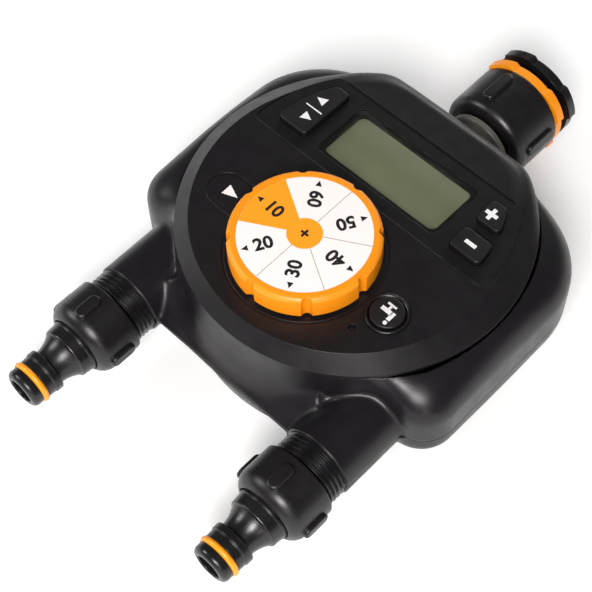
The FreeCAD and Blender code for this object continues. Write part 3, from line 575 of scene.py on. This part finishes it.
def cap_body():
    """The cap: a plain chamfer round its sides that turns in to a soft roll at the top."""
    bm = bmesh.new()
    angle = np.linspace(0, 2 * math.pi, CAP_POINTS, endpoint=False)
    crease = outline(CREASE)
    face = outline(FACE)
    lift = np.clip((np.sin(angle) - 0.45) / 0.45, 0, 1)
    lift = lift * lift * (3 - 2 * lift)
    rings = [ring_of(bm, outline(CREASE, 0.1), CAP_FOOT_Z), ring_of(bm, crease, CAP_EDGE_Z)]
    for step in range(15):
        u = step / 14
        across = u * (1 - lift) + (1 - math.cos(u * math.pi / 2)) * lift
        rise = u * (1 - lift) + math.sin(u * math.pi / 2) * lift
        rings.append(ring_of(bm, crease + (face - crease) * across[:, None], CREASE_Z + CAP_RISE * rise))
    for lower, upper in zip(rings, rings[1:]):
        bridge(bm, lower, upper)
    bm.faces.new(rings[-1])
    inner = [ring_of(bm, outline(CREASE, WALL), CAP_FOOT_Z),
             ring_of(bm, outline(CREASE, WALL), INNER_EDGE_Z),
             ring_of(bm, outline(FACE, WALL - 1.0), INNER_FACE_Z)]
    for lower, upper in zip(inner, inner[1:]):
        bridge(bm, lower, upper, False)
    bm.faces.new(inner[-1][::-1])
    bridge(bm, inner[0], rings[0])
    return bm


def circle(x, y, radius, count=96):
    return [(x + radius * math.cos(2 * math.pi * i / count), y + radius * math.sin(2 * math.pi * i / count))
            for i in range(count)]


def rounded(corners, radius, count=7):
    """A polygon with its corners rounded."""
    points = []
    total = len(corners)
    for i in range(total):
        here = Vector(corners[i])
        before = (Vector(corners[i - 1]) - here).normalized()
        after = (Vector(corners[(i + 1) % total]) - here).normalized()
        half = before.angle(after) / 2
        reach = radius / math.tan(half)
        middle = here + (before + after).normalized() * (radius / math.sin(half))
        start = here + before * reach - middle
        end = here + after * reach - middle
        for k in range(count + 1):
            t = k / count
            arm = (start * (1 - t) + end * t).normalized() * radius
            points.append((middle.x + arm.x, middle.y + arm.y))
    return points


def arc_side(arc_y, radius, low_y, high_y, sign, count=14):
    """Points up the side of a plate whose outer edge is an arc about (0, arc_y)."""
    points = []
    for i in range(count + 1):
        y = low_y + (high_y - low_y) * i / count
        points.append((sign * math.sqrt(radius**2 - (y - arc_y) ** 2), y))
    return points


def soften(points, radius):
    """Round only the sharp corners of an outline that also has long arcs."""
    result = []
    total = len(points)
    for i in range(total):
        here = Vector(points[i])
        before = Vector(points[i - 1]) - here
        after = Vector(points[(i + 1) % total]) - here
        if before.angle(after) > math.radians(150):
            result.append(points[i])
            continue
        ends = [tuple(here + arm.normalized() * 9) for arm in (before, after)]
        corner = rounded([ends[0], tuple(here), ends[1]], radius)
        result.extend(corner[8:16])
    return result


# A span is its lowest and highest y. An arc is its centre's y and its radius.
PANEL_SPAN = (12.0, 46.2)
PANEL_ARC = (13.8, 53.2)
PANEL_CORNER = 3.0
KEY_ARC = (16.7, 46.2)
KEY_INNER_X = 33.3
KEY_CORNER = 1.8
KEY_GAP = 0.25
PAD_HALF = 7.3
PAD_END_X = 37.3


def panel_outline():
    right = arc_side(*PANEL_ARC, *PANEL_SPAN, 1, 5)
    left = arc_side(*PANEL_ARC, *PANEL_SPAN, -1, 5)
    return soften(right + left[::-1], PANEL_CORNER)


def key_outline(low, high, sign, grow=0.0):
    low, high = low - grow, high + grow
    side = arc_side(KEY_ARC[0], KEY_ARC[1] + grow, low, high, 1, 3)
    inner = KEY_INNER_X - grow
    points = soften([(inner, low)] + side + [(inner, high)], KEY_CORNER + grow)
    if sign < 0:
        points = [(-x, y) for x, y in points][::-1]
    return points


KEY_SPANS = {"plus": (31.4, 41.2, 1), "minus": (17.3, 26.6, 1), "lr": (17.3, 41.2, -1)}
TAP = (36.5, -16.6)
TAP_R = 7.85
RESET = (31.6, -28.3)
RESET_R = 1.3
WINDOW_Y = 29.16
WINDOW_HALF = (27.3, 12.35)
WINDOW_CORNER = 2.8
WELL_R = 28.4
SHAFT_HOLE_R = 3.4
PANEL_FLOOR = 56.3
WELL_FLOOR = 57.5
PAD_FLOOR = 57.6
CUT_TOP = 60
THROUGH = (50, CUT_TOP)


def window_outline():
    wide, high = WINDOW_HALF
    low, top = WINDOW_Y - high, WINDOW_Y + high
    return rounded([(-wide, low), (wide, low), (wide, top), (-wide, top)], WINDOW_CORNER)


def pad_outline():
    points = [(0, DIAL_Y - PAD_HALF), (0, DIAL_Y + PAD_HALF)]
    for i in range(25):
        angle = math.pi / 2 + math.pi * i / 24
        points.append((-PAD_END_X + PAD_HALF * math.cos(angle), DIAL_Y + PAD_HALF * math.sin(angle)))
    return points


def subtract(obj, cutters):
    """Cut closed upright prisms out of a piece."""
    for outline_points, low, high in cutters:
        bm = bmesh.new()
        add_prism(bm, [(x * MM, y * MM) for x, y in outline_points], low * MM, high * MM)
        bmesh.ops.recalc_face_normals(bm, faces=bm.faces)
        mesh = bpy.data.meshes.new("cutter")
        bm.to_mesh(mesh)
        bm.free()
        tool = bpy.data.objects.new("cutter", mesh)
        bpy.context.scene.collection.objects.link(tool)
        modifier = obj.modifiers.new("cut", "BOOLEAN")
        modifier.operation = "DIFFERENCE"
        modifier.solver = "EXACT"
        modifier.object = tool
        graph = bpy.context.evaluated_depsgraph_get()
        result = bpy.data.meshes.new_from_object(obj.evaluated_get(graph))
        obj.modifiers.clear()
        old = obj.data
        obj.data = result
        bpy.data.meshes.remove(old)
        bpy.data.objects.remove(tool)
        bpy.data.meshes.remove(mesh)


bm = cap_body()
bmesh.ops.recalc_face_normals(bm, faces=bm.faces)
cap = piece("cap", bm, CAP, "case", ("front_cap",))
cuts = [(panel_outline(), PANEL_FLOOR, CUT_TOP), (window_outline(), *THROUGH),
        (circle(0, DIAL_Y, WELL_R, 128), WELL_FLOOR, CUT_TOP),
        (circle(0, DIAL_Y, SHAFT_HOLE_R, 32), *THROUGH), (pad_outline(), PAD_FLOOR, CUT_TOP),
        (circle(*TAP, TAP_R), *THROUGH), (circle(*RESET, RESET_R, 32), *THROUGH)]
for low, high, sign in KEY_SPANS.values():
    cuts.append((key_outline(low, high, sign, KEY_GAP), *THROUGH))
subtract(cap, cuts)
smooth(cap, 24.0)


def well_step():
    """The low ring standing in the well round the dial."""
    bm = bmesh.new()
    section = [(27.7, 57.45), (27.7, 57.8), (27.55, 57.88), (27.05, 57.88), (26.9, 57.8), (26.9, 57.45)]
    rings = []
    for radius, height in section:
        rings.append([bm.verts.new((x, y, height)) for x, y in circle(0, DIAL_Y, radius, 128)])
    for lower, upper in zip(rings, rings[1:] + rings[:1]):
        bridge(bm, lower, upper)
    piece("dial_step", bm, CAP, "case")


well_step()

# ---------------------------------------------------------------- printed marks


def marks(name, outlines, low, high, mat, body, slot):
    bm = bmesh.new()
    for points in outlines:
        add_prism(bm, points, low, high)
    bmesh.ops.recalc_face_normals(bm, faces=bm.faces)
    piece(name, bm, mat, body)


def bar(x, y, long, wide, degrees=0.0):
    """A rectangle about (x, y), its long side turned from +X."""
    c, s = math.cos(math.radians(degrees)), math.sin(math.radians(degrees))
    points = []
    for u, v in ((-1, -1), (1, -1), (1, 1), (-1, 1)):
        a, b = u * long / 2, v * wide / 2
        points.append((x + a * c - b * s, y + a * s + b * c))
    return points


def arrow(x, y, size, degrees):
    """A triangle about (x, y) pointing along degrees."""
    points = []
    for turn, reach in ((0, 1.0), (125, 0.88), (235, 0.88)):
        a = math.radians(degrees + turn)
        points.append((x + size * reach * math.cos(a), y + size * reach * math.sin(a)))
    return points


def sector(inner, outer, start, end, count=28):
    points = []
    for i in range(count + 1):
        a = math.radians(start + (end - start) * i / count)
        points.append((outer * math.cos(a), DIAL_Y + outer * math.sin(a)))
    for i in range(count + 1):
        a = math.radians(end + (start - end) * i / count)
        points.append((inner * math.cos(a), DIAL_Y + inner * math.sin(a)))
    return points


KEY_TOP = 59.8
ON_KEY = (KEY_TOP - 0.02, KEY_TOP + 0.06)
plus_arms = [bar(36.8, 35.8, 5.0, 1.5), bar(36.8, 38.275 - 0.85, 1.5, 1.76), bar(36.8, 34.175, 1.5, 1.76)]
marks("plus_mark", plus_arms, *ON_KEY, GLYPH, "plus_key", "key_plastic")
marks("minus_mark", [bar(39.3, 21.8, 4.6, 1.5)], *ON_KEY, GLYPH, "minus_key", "key_plastic")
marks("side_marks", [bar(-38.6, 27.8, 7.4, 0.5), arrow(-38.7, 32.4, 2.6, 180), arrow(-38.4, 23.4, 2.6, 0)],
      *ON_KEY, GLYPH, "lr_key", "key_plastic")
marks("pointer", [[(-37.9, DIAL_Y - 2.3), (-32.2, DIAL_Y), (-37.9, DIAL_Y + 2.3)]],
      57.55, 57.66, GLYPH, "case", "dial_print")
tap_x, tap_y = TAP
marks("tap_mark", [bar(tap_x - 0.6, tap_y + 0.4, 4.4, 1.6), bar(tap_x + 2.0, tap_y - 0.5, 1.5, 3.4),
                   bar(tap_x - 0.4, tap_y + 2.0, 0.9, 1.5), bar(tap_x - 0.4, tap_y + 3.0, 3.6, 0.8),
                   circle(tap_x + 2.0, tap_y - 3.5, 0.75, 24)],
      59.0, 59.16, GLYPH, "manual_key", "key_plastic")

# Low and high of the label and of what is printed on it.
LABEL_SPAN = (68.5, 68.70)
SECTOR_SPAN = (68.69, 68.74)
LINE_SPAN = (68.69, 68.73)
INK_SPAN = (68.73, 68.78)
NUMERAL_Z = 68.745
NUMERAL_R = 14.2
NUMERAL_SIZE = 6.6
ARROW_R = 20.3
bm = bmesh.new()
add_prism(bm, circle(0, DIAL_Y, LABEL_R, 128), *LABEL_SPAN)
piece("label_base", bm, WHITE, "dial", ("dial_label",))
marks("label_sector", [sector(HUB_R - 0.62, LABEL_R - 0.05, 150, 210), circle(0, DIAL_Y, HUB_R - 0.6, 64),
                        sector(HUB_R - 0.6, HUB_R, 210.5, 509.5, 72)],
      *SECTOR_SPAN, LABEL_ORANGE, "dial", "dial_print")
lines = []
for degrees in (90, 30, -30, -90):
    a = math.radians(degrees)
    middle = (HUB_R + LABEL_R) / 2
    x, y = middle * math.cos(a), DIAL_Y + middle * math.sin(a)
    lines.append(bar(x, y, LABEL_R - HUB_R - 0.1, 0.22, degrees))
marks("label_lines", lines, *LINE_SPAN, LINE, "dial", "dial_print")
ink = [bar(0, DIAL_Y, 3.2, 0.9), bar(0, DIAL_Y + 1.02, 0.9, 1.14), bar(0, DIAL_Y - 1.02, 0.9, 1.14)]
for number in range(6):
    a = math.radians(180 + 60 * number)
    ink.append(arrow(ARROW_R * math.cos(a), DIAL_Y + ARROW_R * math.sin(a), 1.5, 180 + 60 * number))
marks("label_arrows", ink, *INK_SPAN, INK, "dial", "dial_print")


def numeral(text, x, y, size, degrees):
    """A dial number as a thin solid, reading along degrees."""
    letters = bpy.data.curves.new("numeral", "FONT")
    letters.body = text
    letters.size = size
    letters.align_x = "CENTER"
    letters.align_y = "CENTER"
    letters.offset = 0.2
    letters.resolution_u = 6
    letters.extrude = 0.03
    holder = bpy.data.objects.new("numeral", letters)
    bpy.context.scene.collection.objects.link(holder)
    graph = bpy.context.evaluated_depsgraph_get()
    mesh = bpy.data.meshes.new_from_object(holder.evaluated_get(graph))
    bpy.data.objects.remove(holder)
    mesh.transform(Matrix.Translation((x, y, NUMERAL_Z)) @ Matrix.Rotation(math.radians(degrees), 4, "Z"))
    bm = bmesh.new()
    bm.from_mesh(mesh)
    bpy.data.meshes.remove(mesh)
    piece("numeral_" + text, bm, INK, "dial")


for number in range(6):
    degrees = 180 + 60 * number
    a = math.radians(degrees)
    x, y = NUMERAL_R * math.cos(a), DIAL_Y + NUMERAL_R * math.sin(a)
    numeral(str(10 * (number + 1)), x, y, NUMERAL_SIZE, degrees + 180)

# ---------------------------------------------------------------- return springs

SPRING_FOOT = 14.3
SPRING_LONG = 4.0
SPRING_R = 2.2
SPRING_PITCH = 1.1
SPRING_WIRE = 0.3
COIL_Y = 9.6


def return_spring(side, sign):
    """An armature's return spring: wire swept round a helix."""
    bm = bmesh.new()
    rings = []
    steps = 88
    for step in range(steps + 1):
        along = SPRING_LONG * step / steps
        turn = 2 * math.pi * along / SPRING_PITCH
        ring = []
        for corner in range(8):
            a = 2 * math.pi * corner / 8
            reach = SPRING_R + SPRING_WIRE * math.cos(a)
            x = sign * (SPRING_FOOT + along + SPRING_WIRE * math.sin(a))
            ring.append(bm.verts.new((x, COIL_Y + reach * math.cos(turn), PIPE_Z + reach * math.sin(turn))))
        rings.append(ring)
    for lower, upper in zip(rings, rings[1:]):
        bridge(bm, lower, upper)
    bm.faces.new(rings[0])
    bm.faces.new(rings[-1])
    bmesh.ops.recalc_face_normals(bm, faces=bm.faces)
    spring = piece(side + "_return_spring", bm, STEEL, "case", (side + "_plunger_spring",))
    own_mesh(spring)


return_spring("left", -1)
return_spring("right", 1)

# ---------------------------------------------------------------- camera, light and floor

CAMERA = Vector((187.06, -203.08, 464.65)) * MM
cam = bpy.data.cameras.new("camera")
cam.sensor_width = 36.0
cam.lens = 87.65
cam.clip_start = 0.01
camera = bpy.data.objects.new("camera", cam)
right = Vector((0.72066, 0.69292, -0.02240))
up = Vector((-0.58470, 0.62483, 0.51738))
back = Vector((0.37250, -0.35976, 0.85545))
camera.matrix_world = Matrix((
    (right.x, up.x, back.x, CAMERA.x),
    (right.y, up.y, back.y, CAMERA.y),
    (right.z, up.z, back.z, CAMERA.z),
    (0, 0, 0, 1),
))
bpy.context.scene.collection.objects.link(camera)
bpy.context.scene.camera = camera

# The floor is sized in metres.
FLOOR_HALF = 3.0
FLOOR_Z = -0.0004


def floor_piece():
    """A plain white floor that glows round the object and less beyond it."""
    bm = bmesh.new()
    corners = ((-1, -1), (1, -1), (1, 1), (-1, 1))
    bm.faces.new([bm.verts.new((x * FLOOR_HALF, y * FLOOR_HALF, FLOOR_Z)) for x, y in corners])
    mesh = bpy.data.meshes.new("floor")
    bm.to_mesh(mesh)
    bm.free()
    obj = bpy.data.objects.new("floor", mesh)
    bpy.context.scene.collection.objects.link(obj)
    mat, tree, shader, coords = new_material("floor_white")
    soft = noise(tree, coords, 6.0)
    reach = tree.nodes.new("ShaderNodeVectorMath")
    reach.operation = "LENGTH"
    tree.links.new(coords.outputs["Object"], reach.inputs[0])
    glow = tree.nodes.new("ShaderNodeMapRange")
    glow.interpolation_type = "SMOOTHSTEP"
    glow.inputs["From Min"].default_value = 0.28
    glow.inputs["From Max"].default_value = 0.60
    glow.inputs["To Min"].default_value = 0.22
    glow.inputs["To Max"].default_value = 0.10
    tree.links.new(reach.outputs["Value"], glow.inputs["Value"])
    tree.links.new(glow.outputs["Result"], shader.inputs["Emission Strength"])
    ramp = tree.nodes.new("ShaderNodeValToRGB")
    ramp.color_ramp.elements[0].color = (0.93, 0.93, 0.93, 1)
    ramp.color_ramp.elements[1].color = (0.96, 0.96, 0.96, 1)
    tree.links.new(soft.outputs["Fac"], ramp.inputs["Fac"])
    tree.links.new(ramp.outputs["Color"], shader.inputs["Base Color"])
    shader.inputs["Roughness"].default_value = 0.9
    shader.inputs["Specular IOR Level"].default_value = 0.1
    tree.links.new(ramp.outputs["Color"], shader.inputs["Emission Color"])
    paint(obj, mat)
    obj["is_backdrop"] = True


floor_piece()


def area(name, place, look, wide, high, power, colour=(1, 1, 1)):
    light = bpy.data.lights.new(name, "AREA")
    light.shape = "RECTANGLE"
    light.size = wide
    light.size_y = high
    light.energy = power
    light.color = colour
    obj = bpy.data.objects.new(name, light)
    place = Vector(place)
    obj.location = place
    obj.rotation_euler = (Vector(look) - place).to_track_quat("-Z", "Y").to_euler()
    bpy.context.scene.collection.objects.link(obj)


area("key", (0.46, -0.66, 0.84), (0, 0, 0.03), 0.45, 0.35, 13.5, (1.0, 0.98, 0.97))
area("fill", (-0.72, -0.50, 0.62), (0, 0, 0.03), 0.35, 0.25, 3.6)
area("rim", (-0.35, 0.95, 0.35), (0, 0, 0.03), 0.6, 0.20, 3.0)
area("low", (0.74, -0.60, 0.25), (0, -0.02, 0.05), 0.16, 0.12, 0.5, (1.0, 0.95, 0.90))
world = bpy.data.worlds.new("studio")
world.use_nodes = True
world.node_tree.nodes["Background"].inputs["Color"].default_value = (1.0, 1.0, 1.0, 1.0)
world.node_tree.nodes["Background"].inputs["Strength"].default_value = 0.14
bpy.context.scene.world = world
bpy.context.scene.view_settings.view_transform = "Standard"

{"start": BOUNDS_START, "end": plain_bounds()}
